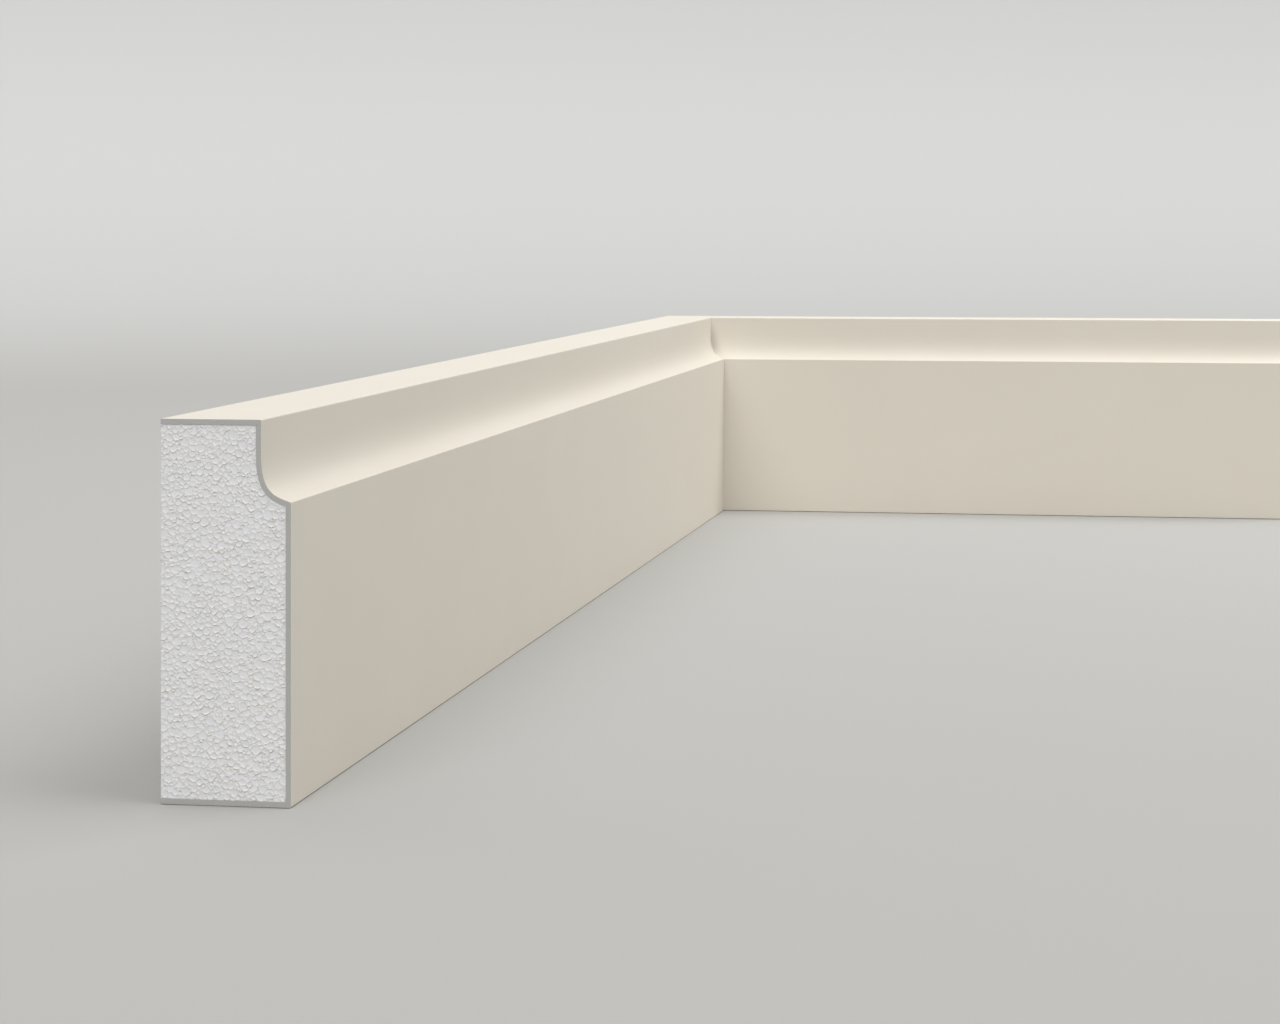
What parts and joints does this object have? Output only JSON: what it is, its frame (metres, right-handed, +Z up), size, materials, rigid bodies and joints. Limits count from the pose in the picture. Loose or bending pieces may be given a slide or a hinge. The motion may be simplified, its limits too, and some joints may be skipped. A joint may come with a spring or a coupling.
{
  "type": "polystyrene moulding",
  "caption": "Coated polystyrene wall moulding with a flat ledge, a cove and a plain fascia, mitred round an inside corner; its square cut ends show the bead core.",
  "frame": {"origin": "under the middle of the whole moulding's box, at the height of its underside", "axes": "+Z up as the moulding sits on the wall, with its ledge on top. Seen from the room, the right length runs along X at the far side with its face to -Y, and the left length runs along Y at the left side with its face to +X. The wall's corner is at -X, +Y."},
  "size_m": [0.66, 1.684, 0.2],
  "materials": {
    "core": "matte",
    "coat": "matte"
  },
  "bodies": {
    "root": {"left_core": "core", "left_coat": "coat", "right_core": "core", "right_coat": "coat"}
  },
  "joints": []
}
